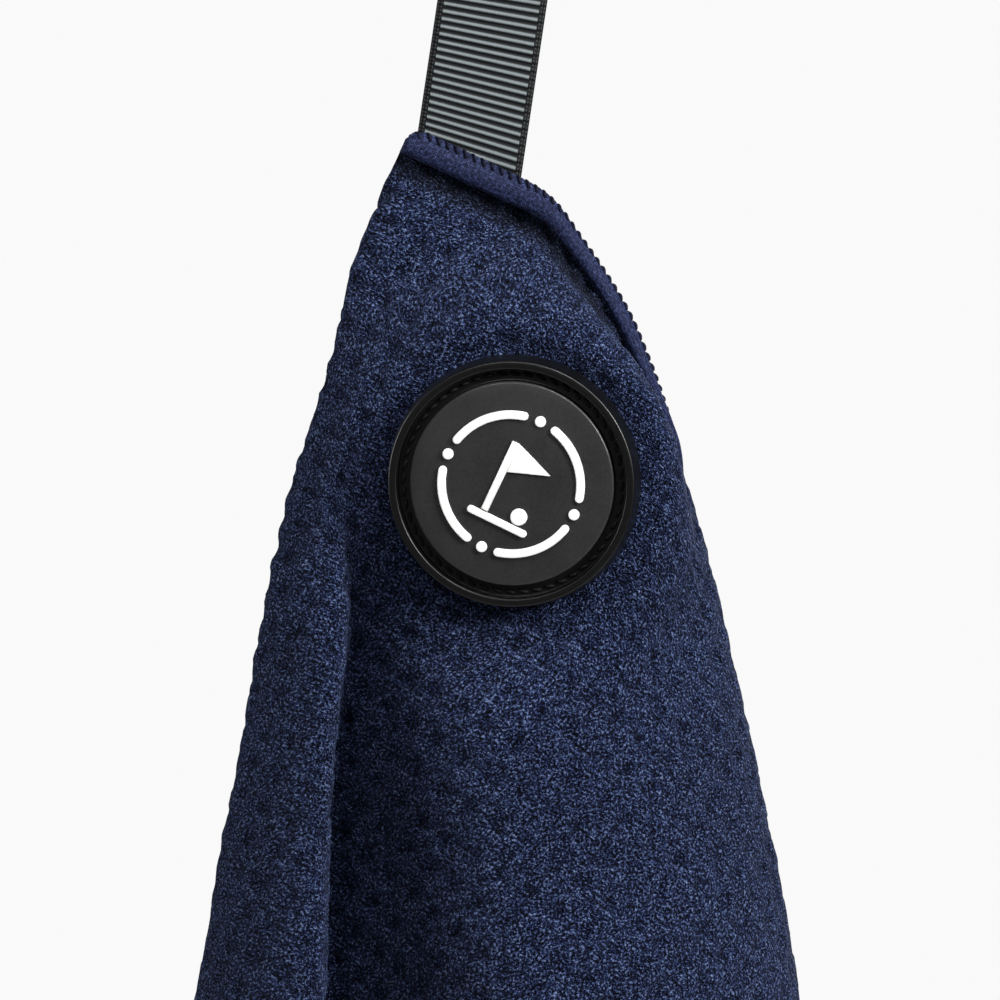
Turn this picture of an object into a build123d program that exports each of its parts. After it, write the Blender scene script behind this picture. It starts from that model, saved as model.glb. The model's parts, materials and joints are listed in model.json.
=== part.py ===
"""Golf towel hung by one corner: a square waffle cloth with a hem band on each side, a ribbon hang loop sewn
behind the top hem, and a round moulded rubber patch that holds a magnet.

Frame: millimetres, +Z up, +Y away from the front. The origin is the middle of the bar that the loop hangs on.
The cloth is drawn in its own flat coordinates: u runs along the top hem and v down the side hem, both from
the hung corner.
"""

import os
from math import atan2, cos, degrees, exp, hypot, pi, radians, sin, tan

from build123d import *

os.makedirs("parts", exist_ok=True)

# ---------------------------------------------------------------- driving dimensions
TOWEL_SIDE = 400.0  # square, cut size
CLOTH_THICKNESS = 1.6
HEM_WIDTH = 5.6
HEM_LAP = 0.35  # room between a hem band and the cloth
HEM_THICKNESS = 2.0
OVERLOCK_WIDTH = 0.8  # thread wrapped over the outer edge of each hem
OVERLOCK_THICKNESS = 2.4

RIBBON_WIDTH = 22.0
RIBBON_THICKNESS = 0.7
RIBBON_LEAN = 8.5  # degrees: the ribbon leans from the seam towards the bar
LOOP_INNER_RADIUS = 4.0
LOOP_WRAP = 12.0  # degrees that the bight goes past the half turn at each end
LOOP_TO_TWIST = 38.0  # bar centre to the place where the loop twists on its strap
LOOP_TO_HEM = 75.5  # bar centre to the outer line of the hem, along the ribbon
TWIST_GAP = 0.4
FOLD_ABOVE_HEM = 3.3  # the strap bends on a line this far above the hem
FOLD_GAP = 1.0
TAIL_BELOW_HEM = 9.0
SEWN_ROOM = 0.1  # between the ribbon's tails and the back of the hem

HEM_SLOPE = 25.4  # degrees: the sewn stretch of the top hem falls to the right
SEAM_FROM_CORNER = 13.1  # corner to the ribbon's middle, along the hem
SEAM_HALF_LENGTH = 11.5
LOOSE_BETWEEN = (3, 58)  # distances from the seam where the cloth starts to come loose and hangs free
LOOSENING = 3.5  # the cloth comes loose this much sooner beside the ribbon than below it

PATCH_U, PATCH_V = 54.0, 53.0
PATCH_TURN = 26.0  # degrees: the patch stands square to the cloth's own weave
PATCH_BASE_DIAMETER = 50.8
PATCH_RIM_DIAMETER = 49.2
PATCH_RIM_WIDTH = 1.6
PATCH_DISC_DIAMETER = 40.9
PATCH_HEIGHT = 4.6
PATCH_EDGE = 0.25  # chamfer of the rim and the disc
PATCH_GROOVE_FLOOR = 1.6  # height of the groove's floor over the patch's back
PATCH_DISC_HEIGHT = 3.9
PATCH_LEFTWARD, PATCH_DOWNWARD = 0.13, 0.13  # how far its face leans, as slopes
PATCH_GAP = 0.5  # room between the patch's back and the curved cloth
PATCH_FLAT = 28.5  # the cloth is flat within this distance of the patch's middle
PATCH_CALM = 48.0  # and hangs free beyond this one
EMBLEM_HEIGHT = 0.6
EMBLEM_RING_RADIUS = 13.9
EMBLEM_LINE = 1.7
EMBLEM_ARC_SPAN = 62.0  # degrees
EMBLEM_ARCS = 4
STITCH_COUNT = 52
STITCH_CIRCLE_RADIUS = 21.9
STITCH_SIZE = (1.9, 0.75, 0.5)  # length, width, height over what it lies on
MAGNET_DIAMETER = 30.0
MAGNET_THICKNESS = 2.0
MAGNET_EDGE = 0.2  # chamfer
MAGNET_ROOM = 0.05
RETAINER_DIAMETER = 36.0
RETAINER_THICKNESS = 0.6

# ---------------------------------------------------------------- directions
UP_RIBBON = Vector(sin(radians(RIBBON_LEAN)), 0, cos(radians(RIBBON_LEAN)))
ACROSS_RIBBON = Vector(cos(radians(RIBBON_LEAN)), 0, -sin(radians(RIBBON_LEAN)))
ALONG_HEM = Vector(cos(radians(HEM_SLOPE)), 0, -sin(radians(HEM_SLOPE)))
DOWN_SIDE = Vector(-sin(radians(HEM_SLOPE)), 0, -cos(radians(HEM_SLOPE)))
CLOTH_Y = -(RIBBON_THICKNESS + OVERLOCK_THICKNESS / 2 + SEWN_ROOM)  # the ribbon's middle plane is Y = 0
SEAM = UP_RIBBON * -LOOP_TO_HEM
CORNER = SEAM - ALONG_HEM * SEAM_FROM_CORNER + Vector(0, CLOTH_Y, 0)

# ---------------------------------------------------------------- the hanging cloth
# Each list holds (drop below the corner, value) pairs, joined by a smooth curve. At each level the cloth
# goes round an open ellipse, from its side hem behind the left to its top hem behind the right. Turns are
# in degrees round that ellipse: 180 is the left edge, 90 the front and 0 the right edge.
LEFT_EDGE = [(0, -23), (31, -36), (71, -47.7), (117, -56.6), (176, -66.7), (300, -80), (420, -88), (560, -90)]
RIGHT_EDGE = [(0, -23), (12, 2.5), (21, 13.6), (36, 24), (47, 26.6), (59, 28.4), (89, 37.3), (130, 46.5)]
RIGHT_EDGE += [(176, 56.2), (300, 73.2), (420, 83.5), (560, 88)]
HALF_DEPTH = [(0, 1), (30, 8), (50, 13), (71, 18), (105, 25), (176, 38), (300, 54), (420, 60), (560, 52)]
SIDE_HEM_TURN = [(0, 180), (30, 184), (71, 192), (176, 216), (300, 235), (420, 240), (560, 255)]
TOP_HEM_TURN = [(0, 32), (30, 32), (45, 22), (59, 2), (71, -20), (100, -54), (140, -79), (176, -93)]
TOP_HEM_TURN += [(300, -110), (420, -105), (560, -75)]
VALLEY_TURN = [(0, 122), (71, 116), (100, 112), (120, 110.5), (176, 107), (300, 107.5), (560, 112)]
VALLEY_WIDTH = 10.5
VALLEY_DEPTH = [(0, 0), (30, 0), (71, 9), (120, 23), (176, 32), (300, 42), (560, 44)]
VALLEY_LEAN = [(0, 0), (50, 0), (71, 5), (120, 14), (176, 18), (300, 19), (560, 16)]  # behind the left roll
FLUTE_SHARE = [(0, 0), (71, 0), (176, 0.13), (300, 0.33), (560, 0.43)]
FLUTES = 5  # to a full turn, on the back only
SPREAD = [(0, 0), (35, 0), (71, 0.055), (110, 0.06), (200, 0.02), (300, 0)]  # widens the left half's share
CENTRE_Y = [(0, 0), (71, 5), (176, 17), (300, 22), (560, 22)]
LEVEL_STEP = 10.0
LEVEL_POINTS = 90
HALVINGS = 13  # steps that find the level at which a place hangs
CLOTH_STRIPS = 29  # so that two of their edges lie just above and just below the patch


def smooth_step(value, low, high):
    """0 below low, 1 above high, smooth between."""
    share = min(1.0, max(0.0, (value - low) / (high - low)))
    return share * share * (3 - 2 * share)


def along(pairs, value):
    """A smooth curve through the pairs, level or straight beyond its ends."""
    slopes = []
    for i in range(len(pairs)):
        before = pairs[max(i - 1, 0)]
        after = pairs[min(i + 1, len(pairs) - 1)]
        slopes.append((after[1] - before[1]) / (after[0] - before[0]))
    if value <= pairs[0][0]:
        return pairs[0][1]
    for (x0, y0), (x1, y1), s0, s1 in zip(pairs, pairs[1:], slopes, slopes[1:]):
        if value <= x1:
            run = x1 - x0
            t = (value - x0) / run
            rise = (2 * t**3 - 3 * t**2 + 1) * y0 + (-2 * t**3 + 3 * t**2) * y1
            return rise + run * ((t**3 - 2 * t**2 + t) * s0 + (t**3 - t**2) * s1)
    return pairs[-1][1] + slopes[-1] * (value - pairs[-1][0])


def level_curve(drop):
    """The cloth's line round one level, as LEVEL_POINTS equal lengths from the side hem to the top hem."""
    left, right = along(LEFT_EDGE, drop), along(RIGHT_EDGE, drop)
    first, last = along(SIDE_HEM_TURN, drop), along(TOP_HEM_TURN, drop)
    depth, flute_share = along(HALF_DEPTH, drop), along(FLUTE_SHARE, drop)
    valley_turn, valley_depth = along(VALLEY_TURN, drop), along(VALLEY_DEPTH, drop)
    lean, centre_y = along(VALLEY_LEAN, drop), along(CENTRE_Y, drop)
    fine = 4 * LEVEL_POINTS
    places = []
    for i in range(fine + 1):
        turn = first + (last - first) * i / fine
        angle = radians(turn)
        flute = 1 - flute_share * max(0.0, -sin(angle)) * (1 + cos(FLUTES * angle)) / 2
        valley = exp(-(((turn - valley_turn) / VALLEY_WIDTH) ** 2))
        x = (left + right) / 2 + (right - left) / 2 * cos(angle) * flute - lean * valley
        places.append((x, centre_y - depth * sin(angle) * flute + valley_depth * valley))
    lengths = [0.0]
    for (x0, y0), (x1, y1) in zip(places, places[1:]):
        lengths.append(lengths[-1] + hypot(x1 - x0, y1 - y0))
    even, i = [], 0
    for step in range(LEVEL_POINTS + 1):
        wanted = lengths[-1] * step / LEVEL_POINTS
        while i < fine - 1 and lengths[i + 1] < wanted:
            i += 1
        share = (wanted - lengths[i]) / (lengths[i + 1] - lengths[i])
        even.append(tuple(a + (b - a) * share for a, b in zip(places[i], places[i + 1])))
    return even


LEVELS = [level_curve(LEVEL_STEP * i) for i in range(1 + int(2 * TOWEL_SIDE / LEVEL_STEP))]


def section(phi, drop):
    """Where the thread at angle phi from the side hem crosses the level that lies drop below the corner."""
    down = min(drop / LEVEL_STEP, len(LEVELS) - 1.001)
    share = min(max(phi, 0.0), 89.999) / 90
    share += along(SPREAD, drop) * sin(pi * share)
    round_it = min(share, 0.9999) * LEVEL_POINTS
    i, j = int(down), int(round_it)
    down, round_it = down - i, round_it - j
    place = []
    for axis in (0, 1):
        upper = LEVELS[i][j][axis] * (1 - round_it) + LEVELS[i][j + 1][axis] * round_it
        lower = LEVELS[i + 1][j][axis] * (1 - round_it) + LEVELS[i + 1][j + 1][axis] * round_it
        place.append(upper * (1 - down) + lower * down)
    return place


def hanging(u, v):
    """The cloth far from its seam, hanging in a flattened bell."""
    reach = hypot(u, v)
    phi = degrees(atan2(u, v))
    low, high = 0.0, reach
    for _ in range(HALVINGS):
        drop = (low + high) / 2
        x, y = section(phi, drop)
        if hypot(x - CORNER.X, y - CLOTH_Y, drop) > reach:
            high = drop
        else:
            low = drop
    return Vector(x, y + CLOTH_Y, CORNER.Z - drop)


def sewn(u, v):
    """The cloth next to the ribbon, which holds it flat."""
    return CORNER + ALONG_HEM * u + DOWN_SIDE * v


def loose_drape(u, v):
    beside_seam = max(0.0, abs(u - SEAM_FROM_CORNER) - SEAM_HALF_LENGTH)
    loose = smooth_step(hypot(LOOSENING * beside_seam, v), *LOOSE_BETWEEN)
    return sewn(u, v) * (1 - loose) + hanging(u, v) * loose


PATCH_NORMAL = Vector(-PATCH_LEFTWARD, -1, -PATCH_DOWNWARD).normalized()
PATCH_CENTRE = loose_drape(PATCH_U, PATCH_V)
PATCH_LEVEL = Vector(0, 0, 1).cross(PATCH_NORMAL).normalized()
PATCH_RIGHT = PATCH_LEVEL.rotate(Axis((0, 0, 0), PATCH_NORMAL), -PATCH_TURN)
PATCH_UP = PATCH_NORMAL.cross(PATCH_RIGHT)


def drape(u, v):
    """The middle of the cloth at (u, v), flattened where the patch is sewn on."""
    right, down = u - PATCH_U, v - PATCH_V
    away = hypot(right, down)
    free = smooth_step(away, PATCH_FLAT, PATCH_CALM)
    flat = PATCH_CENTRE + PATCH_RIGHT * right - PATCH_UP * down
    return flat * (1 - free) + loose_drape(u, v) * free


def face_direction(u, v, step=0.5):
    """The cloth's outward direction, towards the side that shows the patch."""
    across = drape(u + step, v) - drape(u - step, v)
    down = drape(u, v + step) - drape(u, v - step)
    return down.cross(across).normalized()


def cloth_line(start, end, spans, height):
    """A spline that follows the cloth from one flat place to another, at a height over its middle."""
    places = []
    for i in range(spans + 1):
        u = start[0] + (end[0] - start[0]) * i / spans
        v = start[1] + (end[1] - start[1]) * i / spans
        places.append(drape(u, v) + face_direction(u, v) * height)
    return Edge.make_spline(places)


def cloth_solid(low, high, thickness, strips=1, spans=80, lines_run_down=False):
    """The draped solid over the flat rectangle from low to high, in strips between lines of the cloth."""
    lines = {1: [], -1: []}
    for i in range(strips + 1):
        share = i / strips
        if lines_run_down:
            u = low[0] + (high[0] - low[0]) * share
            ends = (u, low[1]), (u, high[1])
        else:
            v = low[1] + (high[1] - low[1]) * share
            ends = (low[0], v), (high[0], v)
        for side in lines:
            lines[side].append(cloth_line(*ends, spans, side * thickness / 2))
    front, back = lines[1], lines[-1]
    faces = [Face.make_surface_from_curves(front[end], back[end]) for end in (0, -1)]
    for i in range(strips):
        faces += [Face.make_surface_from_curves(side[i], side[i + 1]) for side in (front, back)]
        for end in (0, 1):
            on_front = Edge.make_line(front[i] @ end, front[i + 1] @ end)
            on_back = Edge.make_line(back[i] @ end, back[i + 1] @ end)
            faces.append(Face.make_surface_from_curves(on_front, on_back))
    return Solid(Shell(faces))


def write(piece, name):
    piece.part.label = name
    export_step(piece.part, f"parts/{name}.step")


# ---------------------------------------------------------------- cloth, hem bands and overlock thread
CLOTH_LOW, CLOTH_HIGH = HEM_WIDTH, TOWEL_SIDE - HEM_WIDTH
BAND_LOW, BAND_HIGH = OVERLOCK_WIDTH, HEM_WIDTH - HEM_LAP
FAR_LOW, FAR_HIGH = TOWEL_SIDE - BAND_HIGH, TOWEL_SIDE - BAND_LOW
THREAD_HIGH = OVERLOCK_WIDTH - HEM_LAP
THREAD_FAR = TOWEL_SIDE - THREAD_HIGH

with BuildPart() as towel_cloth:
    add(cloth_solid((CLOTH_LOW, CLOTH_LOW), (CLOTH_HIGH, CLOTH_HIGH), CLOTH_THICKNESS, strips=CLOTH_STRIPS))
write(towel_cloth, "towel_cloth")

with BuildPart() as top_hem_band:
    add(cloth_solid((BAND_LOW, BAND_LOW), (FAR_HIGH, BAND_HIGH), HEM_THICKNESS))
write(top_hem_band, "top_hem_band")

with BuildPart() as bottom_hem_band:
    add(cloth_solid((BAND_LOW, FAR_LOW), (FAR_HIGH, FAR_HIGH), HEM_THICKNESS))
write(bottom_hem_band, "bottom_hem_band")

with BuildPart() as near_side_hem_band:
    add(cloth_solid((BAND_LOW, CLOTH_LOW), (BAND_HIGH, CLOTH_HIGH), HEM_THICKNESS, lines_run_down=True))
write(near_side_hem_band, "near_side_hem_band")

with BuildPart() as far_side_hem_band:
    add(cloth_solid((FAR_LOW, CLOTH_LOW), (FAR_HIGH, CLOTH_HIGH), HEM_THICKNESS, lines_run_down=True))
write(far_side_hem_band, "far_side_hem_band")

with BuildPart() as overlock_thread:
    for v_low, v_high in ((0, THREAD_HIGH), (THREAD_FAR, TOWEL_SIDE)):
        add(cloth_solid((0, v_low), (TOWEL_SIDE, v_high), OVERLOCK_THICKNESS))
    for u_low, u_high in ((0, THREAD_HIGH), (THREAD_FAR, TOWEL_SIDE)):
        add(cloth_solid((u_low, BAND_LOW), (u_high, FAR_HIGH), OVERLOCK_THICKNESS, lines_run_down=True))
write(overlock_thread, "overlock_thread")

# ---------------------------------------------------------------- ribbon: loop, strap and sewn tails
# In this plane X points away from the front and Y points up the ribbon.
BAR_PLANE = Plane(origin=(0, 0, 0), x_dir=(0, 1, 0), z_dir=ACROSS_RIBBON)
LOOP_OUTER_RADIUS = LOOP_INNER_RADIUS + RIBBON_THICKNESS
SLANT = tan(radians(HEM_SLOPE - RIBBON_LEAN))

BIGHT_INNER_END = (LOOP_INNER_RADIUS * cos(radians(LOOP_WRAP)), -LOOP_INNER_RADIUS * sin(radians(LOOP_WRAP)))
BIGHT_OUTER_END = (LOOP_OUTER_RADIUS * cos(radians(LOOP_WRAP)), -LOOP_OUTER_RADIUS * sin(radians(LOOP_WRAP)))

with BuildPart() as ribbon_bight:
    with BuildSketch(BAR_PLANE):
        Circle(LOOP_OUTER_RADIUS)
        Circle(LOOP_INNER_RADIUS, mode=Mode.SUBTRACT)
        with BuildLine():
            Polyline(
                (0, 0),
                (2 * BIGHT_OUTER_END[0], 2 * BIGHT_OUTER_END[1]),
                (0, -3 * LOOP_OUTER_RADIUS),
                (-2 * BIGHT_OUTER_END[0], 2 * BIGHT_OUTER_END[1]),
                close=True,
            )
        make_face(mode=Mode.SUBTRACT)
    extrude(amount=RIBBON_WIDTH / 2, both=True)
write(ribbon_bight, "ribbon_bight")


def loop_run(side):
    """One run of the loop, from the bight down to where the two runs meet: side -1 is the front one."""
    with BuildPart() as run:
        with BuildSketch(BAR_PLANE):
            with BuildLine():
                Polyline(
                    (side * BIGHT_OUTER_END[0], BIGHT_OUTER_END[1]),
                    (side * BIGHT_INNER_END[0], BIGHT_INNER_END[1]),
                    (0, -LOOP_TO_TWIST),
                    (side * RIBBON_THICKNESS, -LOOP_TO_TWIST),
                    close=True,
                )
            make_face()
        extrude(amount=RIBBON_WIDTH / 2, both=True)
    return run


write(loop_run(-1), "ribbon_front_run")
write(loop_run(1), "ribbon_back_run")


def on_ribbon(sideways, down, slant=0.0):
    """A place in the ribbon's plane: sideways from its middle line and down from the bar, in X and Z."""
    place = ACROSS_RIBBON * sideways - UP_RIBBON * (down + sideways * slant)
    return place.X, place.Z


def ribbon_layer(y_back, top, top_slant, bottom, bottom_slant):
    """One layer of ribbon in the XZ plane, one thickness forward of y_back, between two cut lines."""
    half = RIBBON_WIDTH / 2
    with BuildPart() as layer:
        with BuildSketch(Plane.XZ.offset(-y_back)):
            with BuildLine():
                Polyline(
                    on_ribbon(-half, top, top_slant),
                    on_ribbon(half, top, top_slant),
                    on_ribbon(half, bottom, bottom_slant),
                    on_ribbon(-half, bottom, bottom_slant),
                    close=True,
                )
            make_face()
        extrude(amount=RIBBON_THICKNESS)
    return layer


STRAP_TOP = LOOP_TO_TWIST + TWIST_GAP
TAIL_TOP = LOOP_TO_HEM - FOLD_ABOVE_HEM
STRAP_BOTTOM = TAIL_TOP - FOLD_GAP
TAIL_BOTTOM = LOOP_TO_HEM + TAIL_BELOW_HEM
for layer_name, layer_back in (("front", 0.0), ("back", RIBBON_THICKNESS)):
    write(ribbon_layer(layer_back, STRAP_TOP, 0, STRAP_BOTTOM, SLANT), f"ribbon_{layer_name}_strap")
    write(ribbon_layer(layer_back, TAIL_TOP, SLANT, TAIL_BOTTOM, SLANT), f"ribbon_{layer_name}_tail")

SEAM_STITCHES = 8
SEAM_ROWS = 2
with BuildPart() as seam_thread:
    seam_plane = Plane(
        origin=SEAM + DOWN_SIDE * HEM_WIDTH / 2 + Vector(0, RIBBON_THICKNESS, 0),
        x_dir=ALONG_HEM,
        z_dir=(0, 1, 0),
    )
    with Locations(seam_plane):
        with GridLocations(RIBBON_WIDTH / SEAM_STITCHES, HEM_WIDTH / 2, SEAM_STITCHES, SEAM_ROWS):
            Box(*STITCH_SIZE, align=(Align.CENTER, Align.CENTER, Align.MIN))
write(seam_thread, "seam_thread")

# ---------------------------------------------------------------- patch
PATCH_PLANE = Plane(
    origin=PATCH_CENTRE + PATCH_NORMAL * (CLOTH_THICKNESS / 2 + PATCH_GAP),
    x_dir=PATCH_RIGHT,
    z_dir=PATCH_NORMAL,
)
PATCH_PROFILE_PLANE = Plane(origin=PATCH_PLANE.origin, x_dir=PATCH_RIGHT, z_dir=-PATCH_UP)
GROOVE_OUTER = PATCH_RIM_DIAMETER / 2 - PATCH_RIM_WIDTH
DISC_RADIUS = PATCH_DISC_DIAMETER / 2
CAVITY_RADIUS = MAGNET_DIAMETER / 2 + MAGNET_ROOM
CAVITY_TOP = RETAINER_THICKNESS + MAGNET_THICKNESS + MAGNET_ROOM
RECESS_RADIUS = RETAINER_DIAMETER / 2 + MAGNET_ROOM
WALL_FOOT = 1.4  # height of the upright foot of the patch's outer wall

with BuildPart() as patch_base:
    with BuildSketch(PATCH_PROFILE_PLANE):
        with BuildLine():
            Polyline(
                (0, CAVITY_TOP),
                (CAVITY_RADIUS, CAVITY_TOP),
                (CAVITY_RADIUS, RETAINER_THICKNESS),
                (RECESS_RADIUS, RETAINER_THICKNESS),
                (RECESS_RADIUS, 0),
                (PATCH_BASE_DIAMETER / 2, 0),
                (PATCH_BASE_DIAMETER / 2, WALL_FOOT),
                (PATCH_RIM_DIAMETER / 2, PATCH_HEIGHT),
                (GROOVE_OUTER, PATCH_HEIGHT),
                (GROOVE_OUTER, PATCH_GROOVE_FLOOR),
                (DISC_RADIUS, PATCH_GROOVE_FLOOR),
                (DISC_RADIUS, PATCH_DISC_HEIGHT),
                (0, PATCH_DISC_HEIGHT),
                close=True,
            )
        make_face()
    revolve(axis=Axis(PATCH_PLANE.origin, PATCH_NORMAL))
    outward = Axis(PATCH_PLANE.origin, PATCH_NORMAL)
    chamfer(patch_base.edges().filter_by(GeomType.CIRCLE).sort_by(outward)[-3:], PATCH_EDGE)
write(patch_base, "patch_base")

with BuildPart() as magnet:
    with BuildSketch(PATCH_PLANE.offset(RETAINER_THICKNESS)):
        Circle(MAGNET_DIAMETER / 2)
    extrude(amount=MAGNET_THICKNESS)
    chamfer(magnet.edges(), MAGNET_EDGE)
write(magnet, "magnet")

with BuildPart() as magnet_retainer:
    with BuildSketch(PATCH_PLANE):
        Circle(RETAINER_DIAMETER / 2)
    extrude(amount=RETAINER_THICKNESS)
write(magnet_retainer, "magnet_retainer")

POLE = (1.5, 15.0)
POLE_AT = (-2.6, 0.6)
FLAG = ((-1.85, 8.1), (6.4, 5.0), (-1.85, 1.9))
BALL_RADIUS, BALL_AT = 1.7, (4.2, -5.2)
GREEN_SIZE, GREEN_AT = (13.0, 1.5), (0.6, -7.9)
with BuildPart() as patch_emblem:
    with BuildSketch(PATCH_PLANE.offset(PATCH_DISC_HEIGHT)):
        for arc in range(EMBLEM_ARCS):
            middle = 45 + arc * 360 / EMBLEM_ARCS
            with BuildLine() as ring_arc:
                CenterArc((0, 0), EMBLEM_RING_RADIUS, middle - EMBLEM_ARC_SPAN / 2, EMBLEM_ARC_SPAN)
                offset(amount=EMBLEM_LINE / 2)
            make_face()
        with PolarLocations(EMBLEM_RING_RADIUS, EMBLEM_ARCS):
            Circle(EMBLEM_LINE * 0.65)
        with Locations(POLE_AT):
            Rectangle(*POLE)
        with BuildLine():
            Polyline(*FLAG, close=True)
        make_face()
        with Locations(BALL_AT):
            Circle(BALL_RADIUS)
        with Locations(GREEN_AT):
            SlotOverall(*GREEN_SIZE)
    extrude(amount=EMBLEM_HEIGHT)
write(patch_emblem, "patch_emblem")

with BuildPart() as patch_front_stitches:
    with Locations(PATCH_PLANE.offset(PATCH_GROOVE_FLOOR)):
        with PolarLocations(STITCH_CIRCLE_RADIUS, STITCH_COUNT, start_angle=3):
            Box(STITCH_SIZE[1], STITCH_SIZE[0], STITCH_SIZE[2], align=(Align.CENTER, Align.CENTER, Align.MIN))
write(patch_front_stitches, "patch_front_stitches")

with BuildPart() as patch_back_stitches:
    with Locations(PATCH_PLANE.offset(-CLOTH_THICKNESS - 2 * PATCH_GAP)):
        with PolarLocations(STITCH_CIRCLE_RADIUS, STITCH_COUNT, start_angle=3):
            Box(STITCH_SIZE[1], STITCH_SIZE[0], STITCH_SIZE[2], align=(Align.CENTER, Align.CENTER, Align.MAX))
write(patch_back_stitches, "patch_back_stitches")
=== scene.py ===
import json
from math import cos, pi, radians, sin

import bpy
import numpy as np
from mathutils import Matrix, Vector


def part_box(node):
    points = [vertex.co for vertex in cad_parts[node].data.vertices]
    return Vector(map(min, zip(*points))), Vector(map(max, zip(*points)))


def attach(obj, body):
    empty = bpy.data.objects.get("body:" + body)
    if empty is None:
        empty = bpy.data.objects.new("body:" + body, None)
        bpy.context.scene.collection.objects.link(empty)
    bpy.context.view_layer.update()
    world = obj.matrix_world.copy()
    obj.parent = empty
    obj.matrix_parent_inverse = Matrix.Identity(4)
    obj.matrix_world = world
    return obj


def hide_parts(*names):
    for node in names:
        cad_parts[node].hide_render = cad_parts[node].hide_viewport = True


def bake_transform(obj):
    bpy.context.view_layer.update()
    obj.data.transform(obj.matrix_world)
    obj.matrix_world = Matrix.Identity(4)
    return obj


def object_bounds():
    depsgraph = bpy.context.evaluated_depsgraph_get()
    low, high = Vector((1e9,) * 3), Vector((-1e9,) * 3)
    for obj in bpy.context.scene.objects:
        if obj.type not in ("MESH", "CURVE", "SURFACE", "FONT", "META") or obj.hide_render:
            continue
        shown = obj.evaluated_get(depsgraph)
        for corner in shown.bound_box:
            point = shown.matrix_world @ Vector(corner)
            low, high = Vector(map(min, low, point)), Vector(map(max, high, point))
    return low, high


# Golf towel hung by one corner. Shapes are worked out in millimetres, and mesh_piece() turns them into
# metres. The cloth has its own flat coordinates: u runs along the top hem and v down the near side hem, both
# from the hung corner. The top hem's edge is "top" below, and the others are "near", "far" and "bottom".
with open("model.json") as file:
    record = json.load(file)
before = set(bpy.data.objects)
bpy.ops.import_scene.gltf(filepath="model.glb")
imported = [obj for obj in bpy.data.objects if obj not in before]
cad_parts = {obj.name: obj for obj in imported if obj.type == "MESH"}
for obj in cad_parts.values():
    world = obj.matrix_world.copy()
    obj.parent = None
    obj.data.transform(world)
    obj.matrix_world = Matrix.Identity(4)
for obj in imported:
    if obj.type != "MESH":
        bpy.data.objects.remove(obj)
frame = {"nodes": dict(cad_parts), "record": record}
cad_low, cad_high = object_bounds()
MM = 0.001

joints = {joint["name"]: joint for joint in frame["record"]["behaviour"]["joints"]}
mounts = {mount["name"]: mount for mount in frame["record"]["mounts"]}

# ---------------------------------------------------------------- camera, lights, floor
VIEW_CENTRE = Vector((-5.05, 0, -144.8)) * MM
VIEW_DISTANCE = 1.2
SENSOR_WIDTH, LENS = 36, 214
SKY_LIGHT, SKY_SHOWN = 0.08, 0.95  # its strength on the object, and where it is seen itself
LIGHTS = (  # name, place in metres, side in metres, power in watts
    ("key", (1.15, -0.9, 0.4), 0.4, 31),
    ("side", (-1.3, 0.05, 0.1), 0.6, 9),
    ("top", (0.2, -0.35, 0.35), 0.2, 2.6),
    ("glint", (-0.3, -1.0, 0.35), 0.25, 2.2),
    ("back", (0.2, 1.3, 0.1), 1.2, 15),
)
FLOOR_BELOW, FLOOR_REACH = 0.07, 0.6
FLOOR_GLOW = 0.2  # what the floor adds to its own look, with no light from it on the object
scene = bpy.context.scene
scene.view_settings.view_transform = "Standard"


def add_camera():
    data = bpy.data.cameras.new("camera")
    data.sensor_width = SENSOR_WIDTH
    data.lens = LENS
    camera = bpy.data.objects.new("camera", data)
    camera.location = VIEW_CENTRE + Vector((0, -VIEW_DISTANCE, 0))
    camera.rotation_euler = (pi / 2, 0, 0)
    scene.collection.objects.link(camera)
    scene.camera = camera


def add_area_light(name, place, size, power):
    data = bpy.data.lights.new(name, "AREA")
    data.size = size
    data.energy = power
    light = bpy.data.objects.new(name, data)
    light.location = place
    light.rotation_euler = (VIEW_CENTRE - Vector(place)).to_track_quat("-Z", "Y").to_euler()
    scene.collection.objects.link(light)


def shown_level(tree, strength, shown):
    """A light's level for the sky or floor: strength on the object, and shown where it is seen itself."""
    rays = tree.nodes.new("ShaderNodeLightPath")
    level = tree.nodes.new("ShaderNodeMapRange")
    level.inputs["To Min"].default_value = strength
    level.inputs["To Max"].default_value = shown
    tree.links.new(rays.outputs["Is Camera Ray"], level.inputs["Value"])
    return level.outputs["Result"]


def add_world(strength, shown):
    world = bpy.data.worlds.new("studio")
    world.use_nodes = True
    tree = world.node_tree
    background = tree.nodes["Background"]
    background.inputs["Color"].default_value = (1, 1, 1, 1)
    tree.links.new(shown_level(tree, strength, shown), background.inputs["Strength"])
    scene.world = world


add_camera()
add_world(SKY_LIGHT, SKY_SHOWN)
for light in LIGHTS:
    add_area_light(*light)

# ---------------------------------------------------------------- material nodes


def add_node(tree, kind, inputs=None, **settings):
    made = tree.nodes.new(kind)
    for name, value in settings.items():
        setattr(made, name, value)
    for name, value in (inputs or {}).items():
        socket = made.inputs[name]
        if isinstance(value, bpy.types.NodeSocket):
            tree.links.new(value, socket)
        else:
            socket.default_value = value
    return made


def sums(tree, operation, *values, clamp=False):
    """A Math node's result: values may be numbers or sockets."""
    made = add_node(tree, "ShaderNodeMath", operation=operation, use_clamp=clamp)
    for socket, value in zip(made.inputs, values):
        if isinstance(value, bpy.types.NodeSocket):
            tree.links.new(value, socket)
        else:
            socket.default_value = value
    return made.outputs[0]


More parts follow.
